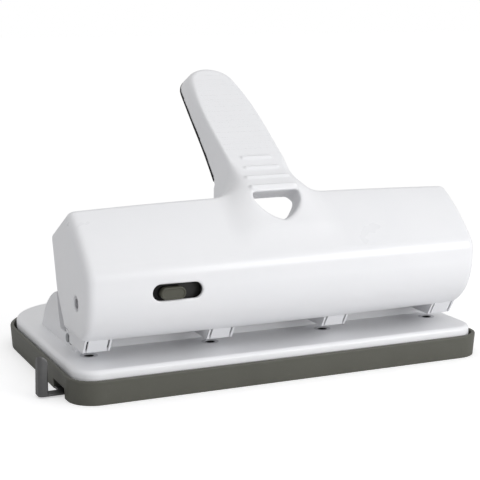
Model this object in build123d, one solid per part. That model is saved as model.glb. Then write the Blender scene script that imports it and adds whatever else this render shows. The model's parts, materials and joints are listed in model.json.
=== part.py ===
from build123d import *
import math
import os

# A four-hole lever punch for the desk, in millimetres.  X runs along its width,
# Y from its front to its back and Z up.  The origin is the middle of the tray's underside.

# ---- Holes and paper -------------------------------------------------------
HOLE_PITCH = 80.0            # the filing standard: four holes, 80 mm apart
HOLE_COUNT = 4
HOLE_ROW_Y = -56.0
HOLES_X = [HOLE_PITCH * (index - (HOLE_COUNT - 1) / 2) for index in range(HOLE_COUNT)]
PAPER_MARGIN = 12.0          # from the holes' line to the paper's edge
THROAT_HEIGHT = 5.9          # gap for the paper, from the plate to the brackets
PUNCH_DIA = 5.5
SLIDE_GAP = 0.1              # radial clearance of the punches in their guides and dies

# ---- Chip tray -------------------------------------------------------------
TRAY_WIDTH = 282.8
TRAY_DEPTH = 190.0
TRAY_HEIGHT = 14.8
TRAY_WALL = 2.4
TRAY_FLOOR = 1.6
TRAY_DRAFT = 0.84            # how far the sides lean in at the floor
TRAY_FRONT_RADIUS = 16.6
TRAY_REAR_RADIUS = 48.0
RIB_WIDTH = 2.0
RIB_REACH = 7.0

# ---- Base plate ------------------------------------------------------------
PLATE_TOP = 20.1
PLATE_SHEET = 2.0
PLATE_GAP = 3.9              # from the tray's outside to the plate's skirt
PLATE_ROLL = 5.0             # radius of the rolled edge
PLATE_SKIRT = 8.1            # depth of the skirt below the top
PLATE_FRONT_RADIUS = 39.0
PLATE_REAR_RADIUS = 46.0

# ---- Dies ------------------------------------------------------------------
DIE_OUTER = PUNCH_DIA + 5.5
DIE_FLANGE = DIE_OUTER + 4.0
DIE_LENGTH = 6.2
DIE_MOUTH = PUNCH_DIA + 1.5
DIE_RELIEF = PUNCH_DIA + 2.5

# ---- Frame: stop wall, brackets, cheeks and rear housing --------------------
CLIP_DIA = PUNCH_DIA + 2.9
FRAME_HALF = HOLES_X[-1] + CLIP_DIA / 2      # the outer punches' clips pass the cheeks
FRAME_SHEET = 2.0
STOP_HEIGHT = 23.9
FLANGE_BACK = -12.0
TOP_FLANGE_BACK = -35.0
CHEEK_SHEET = 1.2
SHELL_SHEET = 1.5
BRACKET_HALF = 8.5
BRACKET_SHEET = 1.2
BRACKET_RISE = 12.0          # from the lower punch guide to the upper one
GUIDE_LOW = PLATE_TOP + THROAT_HEIGHT
GUIDE_HIGH = GUIDE_LOW + BRACKET_RISE
GUIDE_SHEET = 2.0
NOSE_Y = -77.0
NOSE_RISE = 9.2
CHIN_Y = -71.0
TAB_BACK = -22.0             # the chassis's end tabs
TAB_TOP = PLATE_TOP + 8.9
SCREW_DIA = 3.4
SCREW_HEAD = 6.5
SCREW_INSET = 24.2           # from the frame's ends to the outer screws
SCREW_COLUMNS = (SCREW_INSET - FRAME_HALF, 0.0, FRAME_HALF - SCREW_INSET)
SCREW_ROWS = (-37.5, -22.5)         # through the chassis, and through the housing's flange too
RIVET_DIA = 3.0
RIVET_HEAD = 5.5
RIVET_RISE = 5.5             # above the plate
CHEEK_RIVETS = [(-38.0, PLATE_TOP + RIVET_RISE), (-31.0, PLATE_TOP + RIVET_RISE)]

# ---- Lever pivot -----------------------------------------------------------
PIVOT_Y = -72.0
PIVOT_Z = 57.0
PIVOT_SHOULDER = 9.4
PIVOT_STUB = 6.0
PIVOT_FIT = 0.05             # radial running clearance
ARM_HALF = 11.0              # half the height of the cheek's arm
SWEPT_INNER = 40.2           # the frame keeps inside this radius, or ...
SWEPT_OUTER = 64.5           # ... outside this one, where the lever's back wall swings

# ---- Lever cover: its end section, as (y, z) --------------------------------
END_GAP = 4.3                # from a cheek to the cover's end wall
COVER_WALL = 2.6
COVER_HALF = FRAME_HALF + CHEEK_SHEET + END_GAP + COVER_WALL
COVER_BOW = 4.5              # how far the front bulges at mid-length
COVER_CROWN = 3.0            # how far the top rises at mid-length
LIP = (-78.1, 35.7)
BELLY_CENTRE = (-58.3, 66.0)
BELLY_BACK = (-94.5, 66.0)
SHOULDER_LOW = (-94.6, 73.0)
SHOULDER_MID = (-93.6, 77.8)
SHOULDER_HIGH = (-90.6, 81.9)
BROW_MID = (-76.0, 96.0)
BROW_END = (-58.8, 108.3)
RIDGE_MID = (-56.1, 109.2)
RIDGE_END = (-53.65, 108.6)
HIP_START = (-21.0, 91.1)
HIP_MID = (-19.8, 89.9)
HIP_END = (-19.7, 88.3)
TAIL = (-28.6, 55.8)
HEEL = (-44.0, 34.5)
TOE = (-75.2, 34.0)
WEB_OFFSET = 24.0            # from a punch to the webs beside it
BOSS_OUTER = 16.0
BOSS_GAP = 0.6               # from a cheek to the boss that faces it

# ---- Handle ----------------------------------------------------------------
HANDLE_FOOT = (-43.3, 130.0)         # a point on its front face, as (y, z)
HANDLE_RISE = 32.2                   # degrees above the horizontal
HANDLE_FACE = ((19.8, 0.0), (20.0, 38.0), (18.2, 75.0), (15.0, 94.0), (0.0, 104.0))
HANDLE_REAR = ((24.6, 0.0), (22.8, 38.0), (22.6, 70.0), (24.0, 90.5), (0.0, 118.5))
HANDLE_REAR_DEPTH = 24.0             # from the face's outline to the wider rear outline
HANDLE_END = 112.6                   # how far along it the tip reaches
HANDLE_ROOT_DEPTH = 22.4
HANDLE_MID_DEPTH = 17.4
HANDLE_TIP_DEPTH = 13.4
HANDLE_WALL = 2.6
GRIP_DEPTH = 1.4
ROOT_BROW = (-79.5, 95.5)            # where the handle's front runs into the cover
FLARE_START = 19.8
FLARE_REACH = 22.0
FLARE_HEIGHT = 13.0
TUNNEL_HALF = 17.0
TUNNEL_REAR_TOP = 20.0
TUNNEL_REAR_KNEE = 35.0
TUNNEL_WALL = 2.5
RIB_HALVES = (10.5, 12.0, 15.0, 16.0)    # thumb ribs across the handle's root
RIB_FIRST = 6.3
RIB_STEP = 10.2
RIB_DIA = 2.6
RIB_STAND = 0.8

# ---- Press rod, punches and springs ----------------------------------------
ROD_DIA = 8.0
ROD_Z = 64.0
PUNCH_TIP = GUIDE_LOW + 0.3
ROD_GAP = 0.3
CLIP_SHEET = 1.2
CLIP_DROP = 2.5              # from the punch's top to the clip's underside
SPRING_MEAN = PUNCH_DIA + 1.5
SPRING_WIRE = 1.0

# ---- Lock slider -----------------------------------------------------------
SLOT_X = HOLES_X[0] + 42.8   # between the left two punches
SLOT_Z = 64.6
SLOT_LENGTH = 31.0
SLOT_HEIGHT = 10.0
SLIDE_FRONT = -92.3
SLIDE_SHEET = 1.5
SLIDE_HALF = 6.6
KNOB_X = SLOT_X - 3.3
KNOB_LENGTH = 15.7
KNOB_HEIGHT = 7.4
KNOB_STAND = 1.6

# ---- Paper guide -----------------------------------------------------------
GUIDE_SHEET_STEEL = 1.2
GUIDE_FRONT = -68.0
GUIDE_BACK = -52.0
GUIDE_TAB_X = -TRAY_WIDTH / 2 - 13.6
GUIDE_TAB_TOP = 28.0
GUIDE_TAB_FLANGE = 5.0
GUIDE_STRIP_Z = 1.0
GUIDE_INNER_END = 5.0
GUIDE_PUSH = 8.0
CHANNEL_FRONT = -72.5
CHANNEL_BACK = -49.5
CHANNEL_HEIGHT = 6.5

BASE_SCREWS = [(x, y) for x in SCREW_COLUMNS for y in SCREW_ROWS]
STOP_FRONT = HOLE_ROW_Y + PAPER_MARGIN
PLATE_UNDER = PLATE_TOP - PLATE_SHEET
LOBE_TOP = (PIVOT_Y + math.sqrt(SWEPT_OUTER ** 2 - 6.5 ** 2), PIVOT_Z - 6.5)
ROD_HALF = FRAME_HALF - 0.5
ROD_BOTTOM = ROD_Z - ROD_DIA / 2
PUNCH_TOP = ROD_BOTTOM - ROD_GAP
CLIP_UNDER = PUNCH_TOP - CLIP_DROP
SPRING_FOOT = GUIDE_HIGH + GUIDE_SHEET


# ---- Helpers ---------------------------------------------------------------
def block(x0, x1, y0, y1, z0, z1):
    """A box given by its limits."""
    middle = ((x0 + x1) / 2, (y0 + y1) / 2, (z0 + z1) / 2)
    return Pos(*middle) * Box(x1 - x0, y1 - y0, z1 - z0)


def rod_z(x, y, z0, z1, diameter):
    """An upright cylinder."""
    return Pos(x, y, (z0 + z1) / 2) * Cylinder(diameter / 2, z1 - z0)


def rod_x(x0, x1, y, z, diameter):
    """A cylinder lying along X."""
    return Pos((x0 + x1) / 2, y, z) * Rot(0, 90, 0) * Cylinder(diameter / 2, abs(x1 - x0))


def side_prism(outline, x0, x1):
    """Push a (y, z) outline, given as points or as a face, along X."""
    face = make_face(Polyline(*outline, close=True)) if isinstance(outline, list) else outline
    return Pos(x0, 0, 0) * extrude(Plane.YZ * face, x1 - x0)


def rounded_outline(inset, front_radius, rear_radius, height):
    """The tray's outline moved in by an inset, at a height."""
    half = TRAY_WIDTH / 2 - inset
    back = TRAY_DEPTH / 2 - inset
    face = make_face(Polyline((-half, -back), (half, -back), (half, back), (-half, back), close=True))
    face = fillet(face.vertices().sort_by(Axis.Y)[:2], front_radius)
    face = fillet(face.vertices().sort_by(Axis.Y)[-2:], rear_radius)
    return Pos(0, 0, height) * face.face()


def polar(centre, radius, degrees):
    """A point on a circle in the (y, z) plane; 0 degrees points to the back."""
    angle = math.radians(degrees)
    return (centre[0] + radius * math.cos(angle), centre[1] + radius * math.sin(angle))


def toward(start, end, distance):
    """The point at a distance from start, on the way to end."""
    span = math.dist(start, end)
    return tuple(a + (b - a) * distance / span for a, b in zip(start, end))


def crossing(a, b, c, d):
    """Where the line through a and b meets the line through c and d."""
    u = (b[0] - a[0], b[1] - a[1])
    v = (d[0] - c[0], d[1] - c[1])
    share = ((c[0] - a[0]) * v[1] - (c[1] - a[1]) * v[0]) / (u[0] * v[1] - u[1] * v[0])
    return (a[0] + share * u[0], a[1] + share * u[1])


def arc_centre(a, b, c):
    """The centre of the circle through three points."""
    ab = ((a[0] + b[0]) / 2, (a[1] + b[1]) / 2)
    bc = ((b[0] + c[0]) / 2, (b[1] + c[1]) / 2)
    ab_far = (ab[0] - (b[1] - a[1]), ab[1] + (b[0] - a[0]))
    bc_far = (bc[0] - (c[1] - b[1]), bc[1] + (c[0] - b[0]))
    return crossing(ab, ab_far, bc, bc_far)


def shifted(a, b, distance):
    """The line from a to b, moved to its right by a distance."""
    span = math.dist(a, b)
    move = ((b[1] - a[1]) / span * distance, -(b[0] - a[0]) / span * distance)
    return (a[0] + move[0], a[1] + move[1]), (b[0] + move[0], b[1] + move[1])


# ---- Chip tray and base plate ----------------------------------------------
def tray_shell():
    """Open tray with leaning sides, a raised guide channel and ribs that seat the plate."""
    foot = rounded_outline(TRAY_DRAFT, TRAY_FRONT_RADIUS, TRAY_REAR_RADIUS, 0)
    rim = rounded_outline(0, TRAY_FRONT_RADIUS, TRAY_REAR_RADIUS, TRAY_HEIGHT)
    outside = loft([foot, rim], ruled=True)
    outside = fillet(outside.edges().group_by(Axis.Z)[-1], TRAY_WALL / 3)
    inner_front = TRAY_FRONT_RADIUS - TRAY_WALL
    inner_rear = TRAY_REAR_RADIUS - TRAY_WALL
    floor = rounded_outline(TRAY_WALL + TRAY_DRAFT, inner_front, inner_rear, TRAY_FLOOR)
    mouth = rounded_outline(TRAY_WALL, inner_front, inner_rear, TRAY_HEIGHT + 0.1)
    tray = outside - loft([floor, mouth], ruled=True)
    skirt_foot = PLATE_TOP - PLATE_SKIRT
    half = TRAY_WIDTH / 2 - TRAY_WALL - 0.5 * TRAY_DRAFT
    depth = TRAY_DEPTH / 2 - TRAY_WALL - 0.5 * TRAY_DRAFT
    ribs = []
    for x in (-90, -30, 30, 90):
        for side in (-1, 1):
            y_wall, y_tip = side * depth, side * (depth - RIB_REACH)
            ribs.append(block(x - RIB_WIDTH / 2, x + RIB_WIDTH / 2, min(y_wall, y_tip),
                              max(y_wall, y_tip), TRAY_FLOOR / 2, skirt_foot))
    for y in (-20, 30):
        for side in (-1, 1):
            x_wall, x_tip = side * half, side * (half - RIB_REACH)
            ribs.append(block(min(x_wall, x_tip), max(x_wall, x_tip), y - RIB_WIDTH / 2,
                              y + RIB_WIDTH / 2, TRAY_FLOOR / 2, skirt_foot))
    channel_end = GUIDE_INNER_END + GUIDE_PUSH + 4
    left = -TRAY_WIDTH / 2
    roof = block(left + TRAY_WALL, channel_end + TRAY_FLOOR, CHANNEL_FRONT - TRAY_FLOOR,
                 CHANNEL_BACK + TRAY_FLOOR, 0, CHANNEL_HEIGHT + TRAY_FLOOR)
    groove = block(left - 1, channel_end, CHANNEL_FRONT, CHANNEL_BACK, -1, CHANNEL_HEIGHT)
    return tray + roof + ribs - groove + guide_rails(left + TRAY_WALL + 2, channel_end)


def guide_rails(x0, x1):
    """Two hooked rails under the channel's roof; the guide's strip slides in them."""
    gap = 0.3
    strip_top = GUIDE_STRIP_Z + GUIDE_SHEET_STEEL
    rails = []
    for edge, side in ((GUIDE_FRONT, -1), (GUIDE_BACK, 1)):
        web = edge + side * gap
        wall = web + side * 1.2
        lip = edge - side * 1.6
        low = GUIDE_STRIP_Z - gap - 0.6
        rails.append(block(x0, x1, min(web, wall), max(web, wall), low, CHANNEL_HEIGHT + 0.5))
        rails.append(block(x0, x1, min(lip, wall), max(lip, wall), low, low + 0.6))
        rails.append(block(x0, x1, min(lip, wall), max(lip, wall), strip_top + gap,
                           CHANNEL_HEIGHT + 0.5))
    return rails


def base_sheet():
    """Pressed steel plate with a rolled edge and a skirt, pierced for the dies."""
    skirt_foot = PLATE_TOP - PLATE_SKIRT
    outline = rounded_outline(PLATE_GAP, PLATE_FRONT_RADIUS, PLATE_REAR_RADIUS, skirt_foot)
    plate = extrude(outline, PLATE_SKIRT)
    plate = fillet(plate.edges().group_by(Axis.Z)[-1], PLATE_ROLL)
    inner = rounded_outline(PLATE_GAP + PLATE_SHEET, PLATE_FRONT_RADIUS - PLATE_SHEET,
                            PLATE_REAR_RADIUS - PLATE_SHEET, skirt_foot)
    hollow = extrude(inner, PLATE_SKIRT - PLATE_SHEET)
    hollow = fillet(hollow.edges().group_by(Axis.Z)[-1], PLATE_ROLL - PLATE_SHEET)
    plate = plate - hollow
    holes = [rod_z(x, HOLE_ROW_Y, PLATE_UNDER - 1, PLATE_TOP + 1, DIE_OUTER) for x in HOLES_X]
    screws = [rod_z(x, y, PLATE_UNDER - 1, PLATE_TOP + 1, SCREW_DIA) for x, y in BASE_SCREWS]
    return plate - holes - screws


def die(x):
    """Hardened ring pressed into the plate from below: a mouth, a cutting edge, a relief."""
    ring = rod_z(x, HOLE_ROW_Y, PLATE_TOP - DIE_LENGTH, PLATE_TOP, DIE_OUTER)
    ring += rod_z(x, HOLE_ROW_Y, PLATE_UNDER - 2, PLATE_UNDER, DIE_FLANGE)
    bore = PUNCH_DIA + 2 * SLIDE_GAP
    ring -= rod_z(x, HOLE_ROW_Y, PLATE_TOP - DIE_LENGTH - 1, PLATE_TOP + 1, bore)
    ring -= rod_z(x, HOLE_ROW_Y, PLATE_TOP - DIE_LENGTH - 1, PLATE_TOP - 3, DIE_RELIEF)
    flare = Pos(x, HOLE_ROW_Y, PLATE_TOP - 0.35) * Cone(bore / 2, DIE_MOUTH / 2, 0.7)
    return ring - flare


# ---- Frame -----------------------------------------------------------------
def chassis():
    """Folded steel: floor flange, stop wall, stiffening top flange and two end tabs."""
    stop_back = STOP_FRONT + FRAME_SHEET
    stop_top = PLATE_TOP + STOP_HEIGHT
    floor_top = PLATE_TOP + FRAME_SHEET
    body = block(-FRAME_HALF, FRAME_HALF, STOP_FRONT, FLANGE_BACK, PLATE_TOP, floor_top)
    body += block(-FRAME_HALF, FRAME_HALF, STOP_FRONT, stop_back, PLATE_TOP, stop_top)
    body += block(-FRAME_HALF, FRAME_HALF, STOP_FRONT, TOP_FLANGE_BACK, stop_top - FRAME_SHEET, stop_top)
    for side in (-1, 1):
        outer, inner = side * FRAME_HALF, side * (FRAME_HALF - FRAME_SHEET)
        body += block(min(outer, inner), max(outer, inner), stop_back, TAB_BACK, floor_top, TAB_TOP)
        for y, z in CHEEK_RIVETS:
            body -= rod_x(min(outer, inner) - 1, max(outer, inner) + 1, y, z, RIVET_DIA)
    for x, y in BASE_SCREWS:
        body -= rod_z(x, y, PLATE_TOP - 1, floor_top + 1, SCREW_DIA)
    return body


def lobe_rear_edge():
    """The humped rear edge that the housing and both cheeks share."""
    return Spline(LOBE_TOP, (-1.8, 48.6), (13.0, 40.5), (21.8, 32.6), (26.5, 26.0), (31.0, PLATE_TOP))


def swept_point(radius, z):
    """The point at a height on a circle about the pivot, behind it."""
    return (PIVOT_Y + math.sqrt(radius ** 2 - (z - PIVOT_Z) ** 2), z)


def rear_housing():
    """Humped cover behind the stop wall, open below and at its ends, with a screw flange."""
    foot = swept_point(SWEPT_OUTER, PLATE_TOP)
    front = ThreePointArc(foot, swept_point(SWEPT_OUTER, 36.0), LOBE_TOP)
    outline = make_face(Wire([front, lobe_rear_edge(), Line((31.0, PLATE_TOP), foot)]))
    solid = side_prism(outline, -FRAME_HALF, FRAME_HALF)
    openings = [solid.faces().sort_by(Axis.Z)[0]] + solid.faces().filter_by(Axis.X)
    shell = offset(solid, amount=-SHELL_SHEET, openings=openings)
    seat = PLATE_TOP + FRAME_SHEET
    shell -= block(-FRAME_HALF - 1, FRAME_HALF + 1, foot[0] - 2, FLANGE_BACK + 0.3, PLATE_TOP - 1, seat)
    flange = block(-FRAME_HALF + FRAME_SHEET + 0.2, FRAME_HALF - FRAME_SHEET - 0.2, SCREW_ROWS[1] - 4.5,
                   swept_point(SWEPT_OUTER, seat)[0] + 1.0, seat, seat + SHELL_SHEET)
    shell += flange
    for x in SCREW_COLUMNS:
        shell -= rod_z(x, SCREW_ROWS[1], seat - 1, seat + SHELL_SHEET + 1, SCREW_DIA)
    return shell


def cheek(side):
    """End plate of the frame: a floor strip, the arm that holds the pivot, and the rear hump."""
    top, arm_low = PIVOT_Z + ARM_HALF, PIVOT_Z - ARM_HALF
    rear_low = swept_point(SWEPT_INNER, TAB_TOP + 0.5)
    outline = Wire([
        Line((STOP_FRONT, PLATE_TOP), (STOP_FRONT, arm_low)),
        Line((STOP_FRONT, arm_low), (PIVOT_Y, arm_low)),
        ThreePointArc((PIVOT_Y, arm_low), (PIVOT_Y - ARM_HALF, PIVOT_Z), (PIVOT_Y, top)),
        Line((PIVOT_Y, top), (-48.0, top)),
        Line((-48.0, top), swept_point(SWEPT_INNER, 54.0)),
        ThreePointArc(swept_point(SWEPT_INNER, 54.0), swept_point(SWEPT_INNER, 42.0), rear_low),
        Line(rear_low, (-36.0, TAB_TOP - 1.5)),
        Line((-36.0, TAB_TOP - 1.5), swept_point(SWEPT_OUTER, TAB_TOP - 1.5)),
        ThreePointArc(swept_point(SWEPT_OUTER, TAB_TOP - 1.5), swept_point(SWEPT_OUTER, 38.0), LOBE_TOP),
        lobe_rear_edge(),
        Line((31.0, PLATE_TOP), (STOP_FRONT, PLATE_TOP)),
    ])
    x0, x1 = sorted((side * FRAME_HALF, side * (FRAME_HALF + CHEEK_SHEET)))
    plate = side_prism(make_face(outline), x0, x1)
    plate -= rod_x(x0 - 1, x1 + 1, PIVOT_Y, PIVOT_Z, PIVOT_STUB)
    for y, z in CHEEK_RIVETS:
        plate -= rod_x(x0 - 1, x1 + 1, y, z, RIVET_DIA)
    return plate


def bracket(x):
    """Folded guide bracket of one punch: two sides, a slanted nose and two guide plates."""
    half = BRACKET_HALF
    low_top, high_top = GUIDE_LOW + GUIDE_SHEET, GUIDE_HIGH + GUIDE_SHEET
    nose, chin = (NOSE_Y, GUIDE_LOW + NOSE_RISE), (CHIN_Y, GUIDE_LOW)
    brow, crown = (NOSE_Y + 4.5, nose[1]), (CHIN_Y + 5.0, high_top)
    back = STOP_FRONT
    side_outline = [nose, brow, crown, (back, high_top), (back, GUIDE_LOW), chin]
    body = side_prism(side_outline, x - half, x - half + BRACKET_SHEET)
    body += side_prism(side_outline, x + half - BRACKET_SHEET, x + half)
    behind_nose = (nose[0] + 1.5, nose[1])
    behind_chin = (chin[0] + 1.5, GUIDE_LOW)
    body += side_prism([nose, behind_nose, behind_chin, chin], x - half + 2.4, x + half - 2.4)
    body += block(x - half + 0.5, x + half - 0.5, chin[0] + 0.5, back, GUIDE_LOW, low_top)
    body += block(x - half + 0.5, x + half - 0.5, crown[0], back, GUIDE_HIGH, high_top)
    body += block(x - half + 0.5, x + half - 0.5, back - 1.5, back, GUIDE_LOW, high_top)
    bore = PUNCH_DIA + 2 * SLIDE_GAP
    return body - rod_z(x, HOLE_ROW_Y, GUIDE_LOW - 1, high_top + 1, bore)


def pivot_pin(side):
    """Shouldered stud: a head inside the cheek, a stub through it, a shoulder in the lever's wall."""
    inner = FRAME_HALF
    wall_out = FRAME_HALF + CHEEK_SHEET
    face = COVER_HALF - 0.7
    pin = rod_x(side * (inner - 1.6), side * inner, PIVOT_Y, PIVOT_Z, PIVOT_SHOULDER)
    pin += rod_x(side * inner, side * wall_out, PIVOT_Y, PIVOT_Z, PIVOT_STUB)
    pin += rod_x(side * wall_out, side * face, PIVOT_Y, PIVOT_Z, PIVOT_SHOULDER)
    return pin - rod_x(side * (face - 1.2), side * (face + 1), PIVOT_Y, PIVOT_Z, PIVOT_STUB)


# ---- Lever cover -----------------------------------------------------------
def bulged(point, amount):
    """A point of the end section, moved to a section where the cover bulges by a share 0 to 1."""
    y, z = point
    y_scale = 1 + amount * COVER_BOW / (HIP_END[0] - BELLY_BACK[0])
    z_scale = 1 + amount * COVER_CROWN / (RIDGE_MID[1] - TOE[1])
    return (HIP_END[0] + (y - HIP_END[0]) * y_scale, TOE[1] + (z - TOE[1]) * z_scale)


def cover_section(x, pieces):
    """A closed face at x from pieces of two points, a line, or three points, an arc."""
    amount = 1 - (x / COVER_HALF) ** 2
    edges = []
    for piece in pieces:
        points = [bulged(point, amount) for point in piece]
        edges.append(Line(*points) if len(points) == 2 else ThreePointArc(*points))
    return Pos(x, 0, 0) * (Plane.YZ * make_face(Wire(edges)))


BELLY_MID = polar(BELLY_CENTRE, math.dist(BELLY_CENTRE, BELLY_BACK), 205)
OUTER_PIECES = [
    (TOE, LIP), (LIP, BELLY_MID, BELLY_BACK), (BELLY_BACK, SHOULDER_LOW),
    (SHOULDER_LOW, SHOULDER_MID, SHOULDER_HIGH), (SHOULDER_HIGH, BROW_MID, BROW_END),
    (BROW_END, RIDGE_MID, RIDGE_END), (RIDGE_END, HIP_START), (HIP_START, HIP_MID, HIP_END),
    (HIP_END, TAIL), (TAIL, HEEL), (HEEL, TOE),
]


def inner_pieces(wall):
    """The cavity's section: the outer one moved in by the wall, and open below."""
    lip_in = toward(LIP, BELLY_CENTRE, wall)
    belly_mid = toward(BELLY_MID, BELLY_CENTRE, wall)
    belly_back = toward(BELLY_BACK, BELLY_CENTRE, wall)
    shoulder_centre = arc_centre(SHOULDER_LOW, SHOULDER_MID, SHOULDER_HIGH)
    shoulder = [toward(p, shoulder_centre, wall) for p in (SHOULDER_LOW, SHOULDER_MID, SHOULDER_HIGH)]
    brow_centre = arc_centre(SHOULDER_HIGH, BROW_MID, BROW_END)
    brow = [toward(p, brow_centre, wall) for p in (BROW_MID, BROW_END)]
    slope = shifted(RIDGE_END, HIP_START, wall)
    tail = shifted(HIP_END, TAIL, wall)
    hip = crossing(*slope, *tail)
    below = 14.0
    lip_out = toward(lip_in, LIP, below)
    tail_out = toward(tail[1], TAIL, below)
    return [
        (lip_out, lip_in), (lip_in, belly_mid, belly_back), (belly_back, shoulder[0]),
        (shoulder[0], shoulder[1], shoulder[2]), (shoulder[2], brow[0], brow[1]),
        (brow[1], slope[0]), (slope[0], hip), (hip, tail[1]), (tail[1], tail_out),
        (tail_out, (tail_out[0] - 12, lip_out[1])), ((tail_out[0] - 12, lip_out[1]), lip_out),
    ]


def cover_loft(pieces, half, ruled=False):
    """Loft a section along X with the cover's bulge."""
    return loft([cover_section(share * half, pieces) for share in (-1, -0.5, 0, 0.5, 1)], ruled=ruled)


def handle_point(along, depth):
    """A (y, z) point of the handle, from its length along the front face and its depth behind it."""
    rise = math.radians(HANDLE_RISE)
    y = HANDLE_FOOT[0] + along * math.cos(rise) + depth * math.sin(rise)
    z = HANDLE_FOOT[1] + along * math.sin(rise) - depth * math.cos(rise)
    return (y, z)


HANDLE_PLANE = Plane(origin=(0, *HANDLE_FOOT), x_dir=(1, 0, 0),
                     z_dir=(0, -math.sin(math.radians(HANDLE_RISE)), math.cos(math.radians(HANDLE_RISE))))


def handle_outline(points, inset, depth):
    """One face across the handle at a depth behind its front: waisted sides and a round tip."""
    *sides, (end_x, end_y) = [(max(x - inset, 0), y) for x, y in points]
    end = (end_x, end_y - inset)
    low = (sides[0][0], -60.0)
    mirrored = [(-x, y) for x, y in sides]
    outline = Wire([
        Line((-low[0], low[1]), low), Line(low, sides[0]), Spline(*sides),
        ThreePointArc(sides[-1], end, mirrored[-1]), Spline(*reversed(mirrored)),
        Line(mirrored[0], (-low[0], low[1])),
    ])
    return HANDLE_PLANE * Pos(0, 0, -depth) * make_face(outline)


def handle_plan(inset=0.0):
    """The handle's sides, which splay from its front face back to the wider rear outline."""
    face = handle_outline(HANDLE_FACE, inset, 0.0)
    rear = handle_outline(HANDLE_REAR, inset, HANDLE_REAR_DEPTH)
    root = handle_outline(HANDLE_REAR, inset, 2.5 * HANDLE_REAR_DEPTH)
    return loft([face, rear], ruled=True) + loft([rear, root], ruled=True)


def handle_profile(inset=0.0, grip_line=0.0):
    """The handle's side outline as a face: straight front, tapering back, rounded rear tip."""
    end = HANDLE_END - inset
    tip_depth = HANDLE_TIP_DEPTH - grip_line
    front = [handle_point(-27.0, inset), handle_point(end, inset)]
    fall = [front[1], handle_point(end, 0.6 * tip_depth)]
    heel = [fall[1], handle_point(end - 1.5, 0.9 * tip_depth), handle_point(end - 6.0, tip_depth)]
    root = handle_point(8.0, HANDLE_ROOT_DEPTH - grip_line)
    back = [heel[2], handle_point(52.0, HANDLE_MID_DEPTH - grip_line), root]
    drop = (root[0] + 0.8, root[1] - 9.0)
    foot = (root[0] + 2.0, 88.0)
    return make_face(Wire([
        ThreePointArc(ROOT_BROW, (-70.2, 108.6 - inset), front[0]), Line(*front), Line(*fall),
        ThreePointArc(*heel), ThreePointArc(*back), ThreePointArc(root, drop, foot),
        Line(foot, (-66.0, 84.0)), Line((-66.0, 84.0), ROOT_BROW),
    ]))


def tunnel(grow):
    """The slanted finger hole: D-shaped in front, widening to a low trapezoid at the back."""
    faces = []
    for y, top, knee, roof, bend, floor in TUNNEL_SECTIONS:
        top, knee, roof, bend, floor = top + grow, knee + grow, roof + grow, bend - 0.3 * grow, floor - grow
        edges = [Line((-top, roof), (top, roof)), Line((top, roof), (knee, bend)),
                 ThreePointArc((knee, bend), (0, floor), (-knee, bend)), Line((-knee, bend), (-top, roof))]
        face = make_face(Wire(edges))
        faces.append(Plane(origin=(0, y, 0), x_dir=(1, 0, 0), z_dir=(0, -1, 0)) * face)
    return loft(faces, ruled=True)


TUNNEL_SECTIONS = (
    (-92.0, TUNNEL_HALF, TUNNEL_HALF, 122.4, 118.0, 100.9),
    (-10.0, TUNNEL_REAR_TOP, TUNNEL_REAR_KNEE, 99.5, 92.0, 87.5),
)


def thumb_ribs():
    """Low ribs across the root of the handle's front face."""
    ribs = []
    for index, half in enumerate(RIB_HALVES):
        point = handle_point(RIB_FIRST - index * RIB_STEP, RIB_DIA / 2 - RIB_STAND)
        ribs.append(rod_x(-half, half, *point, RIB_DIA))
    return ribs


def root_flare():
    """Concave wings that run from the handle's sides into the ridge, along both slopes."""
    high, near, wide = FLARE_HEIGHT, FLARE_START, FLARE_START + FLARE_REACH
    right = Bezier((wide, 0), (near + 6, 0), (near + 0.5, 5), (near - 0.5, high))
    left = Bezier((-near + 0.5, high), (-near - 0.5, 5), (-near - 6, 0), (-wide, 0))
    outline = Wire([
        right, Line((near - 0.5, high), (-near + 0.5, high)), left,
        Line((-wide, 0), (-wide, -8)), Line((-wide, -8), (wide, -8)), Line((wide, -8), (wide, 0)),
    ])
    ridge = bulged(RIDGE_MID, 1.0)
    face = Plane(origin=(0, *ridge), x_dir=(1, 0, 0), z_dir=(0, -1, 0)) * make_face(outline)
    down_back = Vector(0, HIP_START[0] - RIDGE_END[0], HIP_START[1] - RIDGE_END[1])
    down_front = Vector(0, BROW_MID[0] - BROW_END[0], BROW_MID[1] - BROW_END[1])
    return extrude(face, 40, dir=down_back) + extrude(face, 28, dir=down_front)


def press_web(x):
    """A moulded web that hangs from the cover's roof and holds the press rod."""
    half = 1.2
    front, back, low = HOLE_ROW_Y - ROD_DIA, HOLE_ROW_Y + ROD_DIA, ROD_Z - ROD_DIA / 2 - 2
    return block(x - half, x + half, front, back, low, HANDLE_FOOT[1])


def lock_rails():
    """Hooked ledges inside the front wall, above and below the lock's slide plate."""
    x0, x1 = SLOT_X - 27.0, SLOT_X + 29.0
    rails = []
    for side in (-1, 1):
        near = SLOT_Z + side * (SLIDE_HALF + 0.4)
        far = near + side * 1.6
        low, high = min(near, far), max(near, far)
        rails.append(block(x0, x1, SLIDE_FRONT - 2.2, SLIDE_FRONT + SLIDE_SHEET + 2.9, low, high))
        hook = near - side * 1.8
        low, high = min(hook, far), max(hook, far)
        rails.append(block(x0, x1, SLIDE_FRONT + SLIDE_SHEET + 1.5, SLIDE_FRONT + SLIDE_SHEET + 2.9,
                           low, high))
    return rails


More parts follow.
